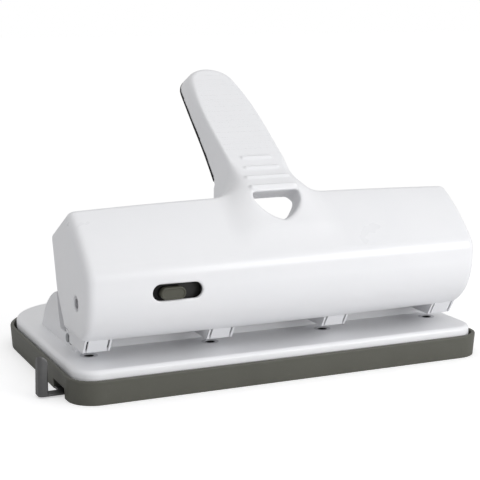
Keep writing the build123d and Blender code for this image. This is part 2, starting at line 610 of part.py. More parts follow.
def lever_cover_and_grip():
    """The lever's moulded cover with its handle, and the soft grip let into the handle's back."""
    envelope = cover_loft(OUTER_PIECES, COVER_HALF)
    side = side_prism(handle_profile(), -60, 60)
    handle = handle_plan() & side
    grip_zone = side - side_prism(handle_profile(0.0, GRIP_DEPTH), -61, 61)
    below_grip = HANDLE_PLANE * Pos(0, -60, 0) * Box(160, 140, 200)
    grip = (handle & grip_zone) - below_grip
    handle = handle - grip
    core = handle_plan(HANDLE_WALL) & side_prism(handle_profile(HANDLE_WALL, GRIP_DEPTH), -60, 60)
    core = core - HANDLE_PLANE * Pos(0, -45, 0) * Box(160, 110, 200)
    outside = envelope + handle + (root_flare() & side)
    cavity = cover_loft(inner_pieces(COVER_WALL), COVER_HALF - COVER_WALL, ruled=True)
    cover = outside - cavity
    liner = tunnel(TUNNEL_WALL) & outside
    cover = cover + liner + thumb_ribs() - tunnel(0) - core
    beside = (HOLES_X[-2] - WEB_OFFSET, HOLES_X[-2] + WEB_OFFSET, HOLES_X[-1] - WEB_OFFSET)
    webs = [(press_web(x * sign) & envelope) - tunnel(0) for x in beside for sign in (-1, 1)]
    rails = [rail & outside for rail in lock_rails()]
    bosses = []
    for sign in (-1, 1):
        bosses.append(rod_x(sign * (FRAME_HALF + CHEEK_SHEET + BOSS_GAP), sign * (COVER_HALF - 1),
                            PIVOT_Y, PIVOT_Z, BOSS_OUTER))
    cover = cover + webs + rails + bosses
    cover = cover - rod_x(-COVER_HALF - 1, COVER_HALF + 1, PIVOT_Y, PIVOT_Z,
                          PIVOT_SHOULDER + 2 * PIVOT_FIT)
    cover = cover - rod_x(-ROD_HALF, ROD_HALF, HOLE_ROW_Y, ROD_Z, ROD_DIA)
    slot = SlotOverall(SLOT_LENGTH, SLOT_HEIGHT)
    slot_plane = Plane(origin=(SLOT_X, SLIDE_FRONT - 1, SLOT_Z), x_dir=(1, 0, 0), z_dir=(0, -1, 0))
    cover = cover - extrude(slot_plane * slot, 20)
    return cover, grip


# ---- Lock slider -----------------------------------------------------------
def lock_button():
    """The lock's knob on its slide plate, seen through the slot in the cover."""
    left, right = SLOT_X - 26.0, SLOT_X + 16.5
    plate = block(left, right, SLIDE_FRONT, SLIDE_FRONT + SLIDE_SHEET, SLOT_Z - SLIDE_HALF,
                  SLOT_Z + SLIDE_HALF)
    amount = 1 - (KNOB_X / COVER_HALF) ** 2
    face = BELLY_BACK[0] - amount * COVER_BOW
    plane = Plane(origin=(KNOB_X, SLIDE_FRONT, SLOT_Z - 0.6), x_dir=(1, 0, 0), z_dir=(0, -1, 0))
    knob = extrude(plane * SlotOverall(KNOB_LENGTH, KNOB_HEIGHT), SLIDE_FRONT - face + KNOB_STAND)
    knob = fillet(knob.edges().group_by(Axis.Y)[0], 1.2)
    return plate + knob


def lock_bolt():
    """Steel strip behind the slide plate, with an arm bent back towards the brackets."""
    back = SLIDE_FRONT + SLIDE_SHEET
    strip = block(SLOT_X - 24.0, SLOT_X + 25.0, back, back + 1.2, SLOT_Z - 4.0, SLOT_Z + 4.0)
    arm = block(SLOT_X + 18.0, SLOT_X + 25.0, back, -68.0, SLOT_Z - 4.0, SLOT_Z - 2.8)
    tip = block(SLOT_X + 18.0, SLOT_X + 25.0, -69.2, -68.0, SLOT_Z - 16.0, SLOT_Z - 2.8)
    return strip + arm + tip


# ---- Press rod, punches and springs ----------------------------------------
def press_rod():
    """The rod that pushes all the punches down, with chamfered ends."""
    rod = rod_x(-ROD_HALF, ROD_HALF, HOLE_ROW_Y, ROD_Z, ROD_DIA)
    return chamfer(rod.edges().filter_by(GeomType.CIRCLE), 0.5)


def punch_pin(x):
    """A hardened punch: hollow-ground cutting end, groove for its clip, domed head."""
    pin = rod_z(x, HOLE_ROW_Y, PUNCH_TIP, PUNCH_TOP, PUNCH_DIA)
    vee = side_prism([(HOLE_ROW_Y - 3, PUNCH_TIP - 0.1), (HOLE_ROW_Y, PUNCH_TIP + 1.2),
                      (HOLE_ROW_Y + 3, PUNCH_TIP - 0.1)], x - 4, x + 4)
    pin = chamfer(pin.edges().sort_by(Axis.Z)[-1], 0.6)
    pin -= vee
    ring = rod_z(x, HOLE_ROW_Y, CLIP_UNDER, CLIP_UNDER + CLIP_SHEET, PUNCH_DIA + 1)
    return pin - (ring - rod_z(x, HOLE_ROW_Y, CLIP_UNDER - 1, CLIP_UNDER + 3, PUNCH_DIA - 1.2))


def punch_clip(x):
    """Snap ring in the punch's groove; the return spring pushes up against it."""
    ring = rod_z(x, HOLE_ROW_Y, CLIP_UNDER, CLIP_UNDER + CLIP_SHEET, CLIP_DIA)
    ring -= rod_z(x, HOLE_ROW_Y, CLIP_UNDER - 1, CLIP_UNDER + 3, PUNCH_DIA - 1.2)
    return ring - block(x - 1.2, x + 1.2, HOLE_ROW_Y, HOLE_ROW_Y + CLIP_DIA, CLIP_UNDER - 1, CLIP_UNDER + 3)


def return_spring(x):
    """A plain sleeve in the coil spring's place, from the upper guide plate to the punch's clip."""
    coil = rod_z(x, HOLE_ROW_Y, SPRING_FOOT, CLIP_UNDER, SPRING_MEAN + SPRING_WIRE)
    return coil - rod_z(x, HOLE_ROW_Y, SPRING_FOOT - 1, CLIP_UNDER + 1, SPRING_MEAN - SPRING_WIRE)


# ---- Fasteners and paper guide ---------------------------------------------
def base_screws():
    """Pan-head screws that clamp the chassis and the rear housing to the plate, with their nuts."""
    screws = []
    for x, y in BASE_SCREWS:
        seat = PLATE_TOP + FRAME_SHEET + (SHELL_SHEET if y == SCREW_ROWS[1] else 0)
        screw = rod_z(x, y, PLATE_UNDER - 3, seat, SCREW_DIA - 0.1)
        head = rod_z(x, y, seat, seat + 2.2, SCREW_HEAD)
        head = chamfer(head.edges().sort_by(Axis.Z)[-1], 0.8)
        nut = Pos(x, y, PLATE_UNDER - 2.4) * extrude(RegularPolygon(3.2, 6), 2.4)
        screws.append(screw + head + nut)
    return Compound(screws)


def cheek_rivets():
    """Rivets that hold each cheek to the chassis's end tab."""
    rivets = []
    for side in (-1, 1):
        inner, outer = side * (FRAME_HALF - FRAME_SHEET), side * (FRAME_HALF + CHEEK_SHEET)
        for y, z in CHEEK_RIVETS:
            rivet = rod_x(inner, outer, y, z, RIVET_DIA - 0.1)
            rivet += rod_x(inner - side * 1.0, inner, y, z, RIVET_HEAD)
            rivets.append(rivet + rod_x(outer, outer + side * 0.9, y, z, RIVET_HEAD))
    return Compound(rivets)


def paper_guide():
    """Steel strip that pulls out to the left, with an upturned and flanged tab at its end."""
    sheet = GUIDE_SHEET_STEEL
    strip = block(GUIDE_TAB_X, GUIDE_INNER_END, GUIDE_FRONT, GUIDE_BACK, GUIDE_STRIP_Z,
                  GUIDE_STRIP_Z + sheet)
    tab = block(GUIDE_TAB_X, GUIDE_TAB_X + sheet, GUIDE_FRONT, GUIDE_BACK, GUIDE_STRIP_Z, GUIDE_TAB_TOP)
    tab = fillet(tab.edges().filter_by(Axis.X).group_by(Axis.Z)[-1].sort_by(Axis.Y)[-1], 7.0)
    tab = fillet(tab.edges().filter_by(Axis.X).group_by(Axis.Z)[-1].sort_by(Axis.Y)[0], 2.0)
    flange = block(GUIDE_TAB_X, GUIDE_TAB_X + GUIDE_TAB_FLANGE, GUIDE_FRONT, GUIDE_FRONT + sheet,
                   GUIDE_STRIP_Z, GUIDE_TAB_TOP - 1.5)
    flange = fillet(flange.edges().filter_by(Axis.Y).group_by(Axis.Z)[-1].sort_by(Axis.X)[-1], 3.0)
    return strip + tab + flange


# ---- Every piece, one file each --------------------------------------------
cover, grip = lever_cover_and_grip()
nodes = {
    "chip_tray": tray_shell(),
    "base_plate": base_sheet(),
    "chassis": chassis(),
    "rear_housing": rear_housing(),
    "left_cheek": cheek(-1),
    "right_cheek": cheek(1),
    "left_pivot_pin": pivot_pin(-1),
    "right_pivot_pin": pivot_pin(1),
    "lever_cover": cover,
    "handle_grip": grip,
    "press_rod": press_rod(),
    "lock_button": lock_button(),
    "lock_bolt": lock_bolt(),
    "base_screws": base_screws(),
    "cheek_rivets": cheek_rivets(),
    "paper_guide": paper_guide(),
}
for number, hole_x in enumerate(HOLES_X, start=1):
    nodes[f"die_{number}"] = die(hole_x)
    nodes[f"punch_bracket_{number}"] = bracket(hole_x)
    nodes[f"punch_pin_{number}"] = punch_pin(hole_x)
    nodes[f"punch_clip_{number}"] = punch_clip(hole_x)
    nodes[f"return_spring_{number}"] = return_spring(hole_x)

os.makedirs("parts", exist_ok=True)
for name, shape in nodes.items():
    export_step(shape, f"parts/{name}.step")
    print(f"{name:20s} {len(shape.solids())} solids {shape.volume:12.1f} mm3")
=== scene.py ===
# %% [markdown]
# # A wide desk hole punch
# The punch is a white barrel on a steel plate over a dark chip tray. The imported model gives
# every rigid piece at its real size, so this lesson adds what a camera sees: the moulded skin
# of the cover, the finishes, the light and the floor. All lengths are in metres.

# %% The frame
import bpy
import bmesh
import json
import math
import numpy as np
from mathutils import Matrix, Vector


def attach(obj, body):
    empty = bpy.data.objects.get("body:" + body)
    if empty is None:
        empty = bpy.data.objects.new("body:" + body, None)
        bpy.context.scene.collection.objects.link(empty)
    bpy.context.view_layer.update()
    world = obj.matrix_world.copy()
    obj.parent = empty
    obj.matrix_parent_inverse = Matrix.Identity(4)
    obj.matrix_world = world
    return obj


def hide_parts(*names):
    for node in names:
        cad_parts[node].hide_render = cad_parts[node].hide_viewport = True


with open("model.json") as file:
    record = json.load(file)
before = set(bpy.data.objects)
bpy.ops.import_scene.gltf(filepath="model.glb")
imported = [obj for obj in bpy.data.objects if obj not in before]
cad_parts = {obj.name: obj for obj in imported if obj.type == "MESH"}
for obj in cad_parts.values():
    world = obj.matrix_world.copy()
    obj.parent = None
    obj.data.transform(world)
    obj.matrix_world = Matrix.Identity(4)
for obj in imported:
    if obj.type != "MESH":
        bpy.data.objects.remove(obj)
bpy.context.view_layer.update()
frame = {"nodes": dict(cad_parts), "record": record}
nodes = frame["nodes"]

MM = 0.001

# %% [markdown]
# ## Writing shaders as sums
# A finish is easier to read as arithmetic than as a web of nodes. One small class holds a
# socket, and each operator adds the Math node that it stands for. Anything else comes from
# one method that takes a node's type, its settings and its inputs.

# %% Sockets with operators
class Value:
    """A number that varies over a surface, written with Python's operators."""

    def __init__(self, tree, socket):
        self.tree, self.socket = tree, socket

    def join(self, operation, left, right):
        node = self.tree.nodes.new("ShaderNodeMath")
        node.operation = operation
        for socket, item in zip(node.inputs, (left, right)):
            if isinstance(item, Value):
                self.tree.links.new(item.socket, socket)
            else:
                socket.default_value = item
        return Value(self.tree, node.outputs[0])

    def __add__(self, other):
        return self.join("ADD", self, other)

    def __radd__(self, other):
        return self.join("ADD", other, self)

    def __rsub__(self, other):
        return self.join("SUBTRACT", other, self)

    def __mul__(self, other):
        return self.join("MULTIPLY", self, other)

    def __rmul__(self, other):
        return self.join("MULTIPLY", other, self)


# %% A finish and its nodes
class Finish:
    """A material under construction: its shader, and a method that adds any other node."""

    def __init__(self, name, **constants):
        self.material = bpy.data.materials.new(name)
        self.material.use_nodes = True
        self.tree = self.material.node_tree
        self.shader = self.tree.nodes["Principled BSDF"]
        for key, value in constants.items():
            self.shader.inputs[key.replace("_", " ")].default_value = value

    def node(self, kind, settings=None, inputs=None, output=0):
        node = self.tree.nodes.new("ShaderNode" + kind)
        for key, value in (settings or {}).items():
            setattr(node, key, value)
        for key, value in (inputs or {}).items():
            if isinstance(value, Value):
                self.tree.links.new(value.socket, node.inputs[key])
            else:
                node.inputs[key].default_value = value
        return Value(self.tree, node.outputs[output])

    def feed(self, name, value):
        self.tree.links.new(value.socket, self.shader.inputs[name])

    def place(self):
        """Object coordinates, in metres."""
        return self.node("TexCoord", output="Object")

    def noise(self, scale, detail=3.0, rough=0.5, vector=None):
        inputs = {"Vector": vector or self.place(), "Scale": scale, "Detail": detail, "Roughness": rough}
        return self.node("TexNoise", inputs=inputs, output="Fac")

    def stretched(self, x, y, z):
        return self.node("Mapping", inputs={"Vector": self.place(), "Scale": (x, y, z)})

    def blend(self, factor, first, second):
        inputs = {"Factor": factor, 6: first, 7: second}
        return self.node("Mix", {"data_type": "RGBA"}, inputs, output=2)

    def ramp(self, value, low, high):
        """0 below low, 1 above high and smooth between."""
        inputs = {"Value": value, "From Min": low, "From Max": high}
        return self.node("MapRange", {"interpolation_type": "SMOOTHSTEP"}, inputs)

    def bump(self, height, depth):
        inputs = {"Height": height, "Strength": 1.0, "Distance": depth}
        self.feed("Normal", self.node("Bump", inputs=inputs))


def srgb(red, green, blue):
    """A screen colour of 0 to 255, as the linear colour that a shader takes."""
    def linear(value):
        share = value / 255
        return share / 12.92 if share < 0.04045 else ((share + 0.055) / 1.055) ** 2.4
    return (linear(red), linear(green), linear(blue), 1.0)


# %% [markdown]
# ## Finishes
# The cover is smooth white plastic, the plate and the sheet parts are painted white, and the
# tray is a dark satin moulding. Each gets the small faults of its own process: flow marks and
# dust on plastic, orange peel on paint, rolling lines on bare steel.

# %% White gloss plastic
def white_plastic():
    finish = Finish("white gloss plastic", Specular_IOR_Level=0.5, Coat_Roughness=0.08)
    cloud = finish.noise(18.0, 4.0, 0.6)
    speck = finish.ramp(finish.noise(900.0, 2.0, 0.5), 0.68, 0.80)
    clean = finish.blend(cloud, srgb(240, 241, 244), srgb(246, 246, 248))
    finish.feed("Base Color", finish.blend(speck * 0.05, clean, srgb(215, 215, 215)))
    finish.feed("Roughness", 0.24 + 0.10 * cloud + 0.03 * speck)
    finish.feed("Coat Weight", 0.22 - 0.15 * cloud)
    finish.bump(finish.noise(140.0, 3.0, 0.5) + 0.15 * finish.noise(2600.0, 1.0), 0.00002)
    return finish.material


# %% White paint on sheet steel
def white_paint(name, shade):
    finish = Finish(name, Specular_IOR_Level=0.45, Coat_Roughness=0.1)
    cloud = finish.noise(25.0, 4.0, 0.6)
    low, high = (shade - 3, shade - 2, shade + 1), (shade + 3, shade + 3, shade + 5)
    tone = finish.blend(cloud, srgb(*low), srgb(*high))
    scuff = finish.ramp(finish.noise(60.0, 6.0, 0.75, finish.stretched(6.0, 1.0, 1.0)), 0.66, 0.80)
    finish.feed("Base Color", finish.blend(scuff * 0.12, tone, srgb(150, 150, 152)))
    finish.feed("Roughness", 0.30 + 0.12 * cloud + 0.25 * scuff)
    finish.feed("Coat Weight", 0.15 - 0.1 * scuff)
    finish.bump(finish.noise(700.0, 2.0, 0.4), 0.000012)
    return finish.material


# %% Dark satin plastic of the tray
def dark_plastic(name, colour, grain):
    finish = Finish(name, Specular_IOR_Level=0.45)
    cloud = finish.noise(22.0, 5.0, 0.6)
    dust = finish.ramp(finish.noise(420.0, 4.0, 0.65), 0.60, 0.74)
    deep = srgb(*[value - 7 for value in colour])
    light = srgb(*[value + 6 for value in colour])
    worn = srgb(*[value + 45 for value in colour])
    finish.feed("Base Color", finish.blend(dust * 0.10, finish.blend(cloud, deep, light), worn))
    finish.feed("Roughness", 0.42 + 0.14 * cloud + 0.12 * dust)
    finish.bump(finish.noise(1500.0, 2.0, 0.6), grain)
    return finish.material


# %% The dies
BORE_SHADE = (0.0194, 0.0200)       # heights between which the bore gives way to the top face


def die_steel():
    """Plated on the top face, with painted shade down the bore: nearly black below the top."""
    finish = Finish("plated die face", Specular_IOR_Level=0.4)
    z = finish.node("SeparateXYZ", inputs={"Vector": finish.place()}, output="Z")
    face = finish.ramp(z, *BORE_SHADE)
    cloud = finish.noise(200.0, 4.0, 0.6)
    plated = finish.blend(cloud, srgb(196, 196, 200), srgb(222, 222, 226))
    # The near black below the top face is painted shade in the bore, not the steel's colour.
    finish.feed("Base Color", finish.blend(face, srgb(22, 22, 22), plated))
    finish.feed("Roughness", 0.4 + 0.2 * cloud)
    finish.bump(finish.noise(900.0, 2.0, 0.5), 0.00001)
    return finish.material


# %% The lock's plastic
SLOT_SHADE = (-0.0960, -0.0935)     # from the knob's front back to the slide plate


def lock_plastic():
    """Olive on the knob that stands out, and nearly black on the plate in the slot's shade."""
    finish = Finish("olive lock plastic", Specular_IOR_Level=0.4)
    y = finish.node("SeparateXYZ", inputs={"Vector": finish.place()}, output="Y")
    sunk = finish.ramp(y, *SLOT_SHADE)
    cloud = finish.noise(60.0, 4.0, 0.6)
    olive = finish.blend(cloud, srgb(70, 70, 61), srgb(86, 86, 75))
    finish.feed("Base Color", finish.blend(sunk, olive, srgb(22, 21, 20)))
    finish.feed("Roughness", 0.45 + 0.14 * cloud)
    finish.bump(finish.noise(1500.0, 2.0, 0.6), 0.00002)
    return finish.material


# %% Soft black grip
def soft_rubber():
    finish = Finish("soft black rubber", Specular_IOR_Level=0.35)
    cloud = finish.noise(30.0, 4.0, 0.6)
    finish.feed("Base Color", finish.blend(cloud, srgb(26, 26, 28), srgb(40, 40, 42)))
    finish.feed("Roughness", 0.62 + 0.2 * cloud)
    finish.bump(finish.noise(2200.0, 2.0, 0.5), 0.00004)
    return finish.material


# %% Bare and plated steel
def steel(name, colour, rough, lines):
    """Rolled or turned steel: a colour, a roughness and how far its fine lines are drawn out."""
    finish = Finish(name, Metallic=1.0)
    streak = finish.noise(500.0, 3.0, 0.6, finish.stretched(*lines))
    cloud = finish.noise(45.0, 4.0, 0.6)
    dark = srgb(*[value - 22 for value in colour])
    finish.feed("Base Color", finish.blend(0.35 * cloud + 0.4 * streak, dark, srgb(*colour)))
    finish.feed("Roughness", rough + 0.14 * streak + 0.1 * cloud)
    finish.bump(streak, 0.00002)
    return finish.material


# %% One finish for each material slot
finishes = {
    "tray_plastic": dark_plastic("dark tray plastic", (88, 88, 80), 0.00003),
    "white_plate": white_paint("white plate paint", 246),
    "white_sheet": white_paint("white sheet paint", 234),
    "cover_plastic": white_plastic(),
    "grip_rubber": soft_rubber(),
    "pin_steel": steel("turned steel", (214, 214, 216), 0.36, (1.0, 1.0, 1.0)),
    "tool_steel": steel("tool steel", (120, 120, 124), 0.28, (1.0, 1.0, 0.1)),
    "lock_plastic": lock_plastic(),
    "zinc_steel": steel("zinc plated steel", (170, 172, 174), 0.34, (1.0, 1.0, 1.0)),
    "guide_steel": steel("rolled guide steel", (124, 124, 124), 0.34, (0.1, 1.0, 1.0)),
    "spring_steel": steel("spring steel", (140, 140, 144), 0.30, (1.0, 1.0, 1.0)),
}
slot_of = {part["node"]: part["material_slot"] for part in frame["record"]["subparts"]}
for name, node in nodes.items():
    node.data.materials.clear()
    node.data.materials.append(finishes[slot_of[name]])

# The dies show a plated face round a bore painted dark as shade, so they have a finish of their own.
die_face = die_steel()
for number in (1, 2, 3, 4):
    nodes[f"die_{number}"].data.materials[0] = die_face
print("finishes:", sorted(finishes))

# %% [markdown]
# ## The cover as one moulding
# A moulded cover has soft radii everywhere, and its handle flows out of the barrel. A distance
# field describes such a form well. It is a function of a point: negative in the plastic, zero
# on its skin and positive outside, in millimetres here. The smaller of two fields joins two
# forms and the larger keeps what they share. With a radius, the same rules leave a fillet.

# %% Joining and cutting fields
def join(first, second, radius):
    """Both forms, with a fillet where they meet."""
    share = np.clip(0.5 + 0.5 * (second - first) / radius, 0.0, 1.0)
    return second + (first - second) * share - radius * share * (1.0 - share)


def common(first, second, radius):
    """What two forms share, with rounded edges."""
    return -join(-first, -second, radius)


def cut(first, second, radius):
    """The first form without the second, with a rounded rim."""
    return common(first, -second, radius)


print("a fillet at the meeting of two faces:", join(np.float64(0.0), np.float64(0.0), 2.0))

# %% [markdown]
# ## Outlines
# The barrel's end section and the handle's two views are outlines of lines and arcs. Each is
# turned into a flat distance field on a fine grid once, and read between the grid's points
# afterwards, which is quick for millions of points.

# %% Arcs and flat fields
def arc(start, middle, end, count=24):
    """Points on the arc through three points, without the last."""
    (ax, ay), (bx, by), (cx, cy) = start, middle, end
    double = 2 * (ax * (by - cy) + bx * (cy - ay) + cx * (ay - by))
    squares = (ax * ax + ay * ay, bx * bx + by * by, cx * cx + cy * cy)
    ux = (squares[0] * (by - cy) + squares[1] * (cy - ay) + squares[2] * (ay - by)) / double
    uy = (squares[0] * (cx - bx) + squares[1] * (ax - cx) + squares[2] * (bx - ax)) / double
    angles = [math.atan2(y - uy, x - ux) for x, y in (start, middle, end)]
    sweep = (angles[2] - angles[0]) % math.tau
    if (angles[1] - angles[0]) % math.tau > sweep:
        sweep -= math.tau
    radius = math.dist(start, (ux, uy))
    steps = [angles[0] + sweep * index / count for index in range(count)]
    return [(ux + radius * math.cos(a), uy + radius * math.sin(a)) for a in steps]


class FlatField:
    """The distance to a closed outline, negative inside it, read from a grid."""

    def __init__(self, outline, margin, step=0.5):
        points = np.array(outline, dtype=float)
        self.low, self.step = points.min(axis=0) - margin, step
        high = points.max(axis=0) + margin
        u, v = [np.arange(low, top, step) for low, top in zip(self.low, high)]
        u, v = np.meshgrid(u, v, indexing="ij")
        nearest = np.full(u.shape, 1e9)
        inside = np.zeros(u.shape, dtype=bool)
        for a, b in zip(points, np.roll(points, -1, axis=0)):
            du, dv = b - a
            share = np.clip(((u - a[0]) * du + (v - a[1]) * dv) / max(du * du + dv * dv, 1e-9), 0, 1)
            nearest = np.minimum(nearest, np.hypot(u - a[0] - share * du, v - a[1] - share * dv))
            if abs(dv) > 1e-9:
                inside ^= ((a[1] <= v) != (b[1] <= v)) & (u < a[0] + (v - a[1]) * du / dv)
        self.values = np.where(inside, -nearest, nearest)

    def at(self, u, v):
        """The distance at points, or where rows of u and columns of v cross."""
        places = []
        for item, low, size in zip((u, v), self.low, self.values.shape):
            spot = np.clip((item - low) / self.step, 0, size - 1.001)
            whole = spot.astype(int)
            places.append((whole, spot - whole))
        (i, p), (j, q) = places
        near = self.values[i, j] * (1 - q) + self.values[i, j + 1] * q
        far = self.values[i + 1, j] * (1 - q) + self.values[i + 1, j + 1] * q
        return near * (1 - p) + far * p


# %% The barrel's end section
LIP, BELLY_BACK, SHOULDER_LOW = (-78.1, 35.7), (-94.5, 66.0), (-94.6, 73.0)
SHOULDER_MID, SHOULDER_HIGH, BROW_MID = (-93.6, 77.8), (-90.6, 81.9), (-76.0, 96.0)
BROW_END, RIDGE_MID, RIDGE_END = (-58.8, 108.3), (-56.1, 109.2), (-53.65, 108.6)
HIP_START, HIP_MID, HIP_END = (-21.0, 91.1), (-19.8, 89.9), (-19.7, 88.3)
TAIL, HEEL, TOE = (-28.6, 55.8), (-44.0, 34.5), (-75.2, 34.0)
BELLY_MID = (-91.1, 50.7)
COVER_HALF, COVER_WALL, COVER_BOW, COVER_CROWN, END_ROUND = 132.3, 2.6, 4.5, 3.0, 6.0

section = FlatField(
    arc(LIP, BELLY_MID, BELLY_BACK) + arc(SHOULDER_LOW, SHOULDER_MID, SHOULDER_HIGH, 12)
    + arc(SHOULDER_HIGH, BROW_MID, BROW_END) + arc(BROW_END, RIDGE_MID, RIDGE_END, 12)
    + [RIDGE_END] + arc(HIP_START, HIP_MID, HIP_END, 8) + [HIP_END, TAIL, HEEL, TOE], 14)
print("section grid:", section.values.shape)

# %% The handle's outlines
HANDLE_FOOT, HANDLE_RISE = (-43.3, 130.0), math.radians(32.2)
FACE_SIDE, FACE_TIP = ((19.8, 0.0), (20.0, 38.0), (18.2, 75.0), (15.0, 94.5)), 105.2
REAR_SIDE, REAR_TIP = ((24.6, 0.0), (22.8, 38.0), (22.6, 70.0), (24.0, 90.5)), 118.5
REAR_DEPTH, GRIP_DEPTH, GRIP_START, HANDLE_END = 24.0, 2.2, 10.0, 112.6
ROOT_BROW = (-79.5, 95.5)


def handle_point(along, depth):
    """A (y, z) point, from the length along the handle's face and the depth behind it."""
    return (HANDLE_FOOT[0] + along * math.cos(HANDLE_RISE) + depth * math.sin(HANDLE_RISE),
            HANDLE_FOOT[1] + along * math.sin(HANDLE_RISE) - depth * math.cos(HANDLE_RISE))


def plan_field(side, tip):
    """The handle seen square to its face: a smooth side through four points, and a round tip."""
    halves, places = zip(*side)
    curve = np.polyfit(places, halves, 3)
    steps = np.linspace(places[0], places[-1], 30)
    right = [(half, place) for half, place in zip(np.polyval(curve, steps), steps)]
    left = [(-half, place) for half, place in reversed(right)]
    low = [(-halves[0], -70.0), (halves[0], -70.0)]
    return FlatField(low + right[:-1] + arc(right[-1], (0.0, tip), left[0], 40) + left, 60)


def profile_field(grip_line):
    """The handle from its side, with its back moved forward by the grip's depth."""
    tip, middle, back = 13.4 - grip_line, 17.4 - grip_line, 22.4 - grip_line
    root = handle_point(8.0, back)
    drop, foot = (root[0] + 0.8, root[1] - 9.0), (root[0] + 2.0, 88.0)
    heel = [handle_point(HANDLE_END, 0.6 * tip), handle_point(HANDLE_END - 1.5, 0.9 * tip),
            handle_point(HANDLE_END - 6.0, tip)]
    return FlatField(
        arc(ROOT_BROW, (-70.2, 108.6), handle_point(-27.0, 0.0)) + [handle_point(-27.0, 0.0)]
        + [handle_point(HANDLE_END, 0.0)] + arc(*heel, 8) + arc(heel[2], handle_point(52.0, middle), root)
        + arc(root, drop, foot, 12) + [foot, (-66.0, 84.0)], 60)


face_plan, rear_plan = plan_field(FACE_SIDE, FACE_TIP), plan_field(REAR_SIDE, REAR_TIP)
side_view, grip_view = profile_field(0.0), profile_field(GRIP_DEPTH)
print("tip at", handle_point(HANDLE_END, 8.0))

# %% [markdown]
# ## The cover's field
# The barrel bulges to the middle of its length, so a point is first moved to where it would
# lie in the end section. The handle's sides splay: its outline changes from the face's to the
# wider rear one with depth. The finger hole is D-shaped in front and low and wide behind. Each
# thumb rib finds the skin under it, so all four stand out alike.

# %% Barrel, handle and finger hole
TUNNEL = {"y": (-92.0, -10.0), "top": (9.5, 27.0), "knee": (8.5, 36.0), "roof": (122.4, 100.0),
          "bend": (118.0, 94.0), "floor": (100.5, 85.8), "bowl": (24.0, 4.0)}
RIB_PLACES = ((10.5, 6.3), (12.0, -3.9), (15.0, -14.1), (16.0, -24.3))


def barrel_section(x, y, z):
    """The section's distance at a point, with the bulge taken out."""
    bulge = np.clip(1 - (x / COVER_HALF) ** 2, 0, 1)
    end_y = HIP_END[0] + (y - HIP_END[0]) / (1 + bulge * COVER_BOW / (HIP_END[0] - BELLY_BACK[0]))
    end_z = TOE[1] + (z - TOE[1]) / (1 + bulge * COVER_CROWN / (RIDGE_MID[1] - TOE[1]))
    return section.at(end_y, end_z)


def handle_place(y, z):
    """How far along and how deep behind the handle's face a point lies."""
    dy, dz = y - HANDLE_FOOT[0], z - HANDLE_FOOT[1]
    return (dy * math.cos(HANDLE_RISE) + dz * math.sin(HANDLE_RISE),
            dy * math.sin(HANDLE_RISE) - dz * math.cos(HANDLE_RISE))


def handle_field(x, y, z):
    along, depth = handle_place(y, z)
    share = np.clip(depth / REAR_DEPTH, 0, 1)
    plan = face_plan.at(x, along) * (1 - share) + rear_plan.at(x, along) * share
    edge = 2.2 + 2.0 * np.clip((along - 60) / 45, 0, 1) + 10.0 * np.clip((6 - along) / 35, 0, 1)
    return common(plan, side_view.at(y, z), edge)


def tunnel_field(x, y, z, grow):
    """The finger hole, or the wall round it when it grows by the wall's thickness."""
    share = np.clip((y - TUNNEL["y"][0]) / (TUNNEL["y"][1] - TUNNEL["y"][0]), -0.2, 1.4)
    top, knee, roof, bend, floor, bowl = [
        TUNNEL[key][0] + (TUNNEL[key][1] - TUNNEL[key][0]) * share + sign * grow
        for key, sign in (("top", 1), ("knee", 1), ("roof", 1), ("bend", -0.3), ("floor", -1), ("bowl", 0))]
    slant = np.hypot(roof - bend, knee - top)
    side = ((np.abs(x) - knee) * (roof - bend) + (z - bend) * (knee - top)) / slant
    return common(common(z - roof, side, 2.0), common(floor - z, np.abs(x) - knee, bowl), 1.5)


# %% The solid form and the thumb ribs
def solid_field(x, y, z):
    """The barrel with the handle grown into it, before anything is cut away."""
    body = common(barrel_section(x, y, z), np.abs(x) - COVER_HALF, END_ROUND)
    fillet = 4.0 + 14.0 * np.clip((-28.0 - y) / 18.0, 0, 1)
    return join(body, handle_field(x, y, z), fillet)


def skin_depth(along):
    """How deep behind the handle's face plane the skin lies in the middle."""
    depths = np.linspace(-9.0, 5.0, 400)
    y, z = handle_point(along, depths)
    return depths[np.argmax(solid_field(np.zeros(400), y, z) < 0)]


RIBS = [(half, along, skin_depth(along) + 0.25) for half, along in RIB_PLACES]
print("ribs:", RIBS)


def rib_field(x, y, z):
    """The nearest thumb rib: a bar with round ends, sunk in the handle's face."""
    ribs = []
    for half, along, depth in RIBS:
        rib_y, rib_z = handle_point(along, depth)
        reach = np.maximum(np.abs(x) - half + 1.3, 0)
        ribs.append(np.sqrt(reach ** 2 + (y - rib_y) ** 2 + (z - rib_z) ** 2) - 1.3)
    return np.minimum.reduce(ribs)


# %% Everything that the cover holds
PIVOT, PIVOT_HOLE, BOSS_RADIUS, BOSS_INNER = (-72.0, 57.0), 4.75, 8.0, 126.0
SLOT_X, SLOT_Z, SLOT_LENGTH, SLOT_HEIGHT = -77.2, 64.6, 31.0, 10.0
WEBS, WEB_HALF, WEB_REACH = (16.0, 64.0, 96.0), 1.2, 8.0
ROD, ROD_RADIUS = (-56.0, 64.0), 4.0


def slab(value, low, high):
    """The space between two planes across one axis."""
    return np.maximum(low - value, value - high)


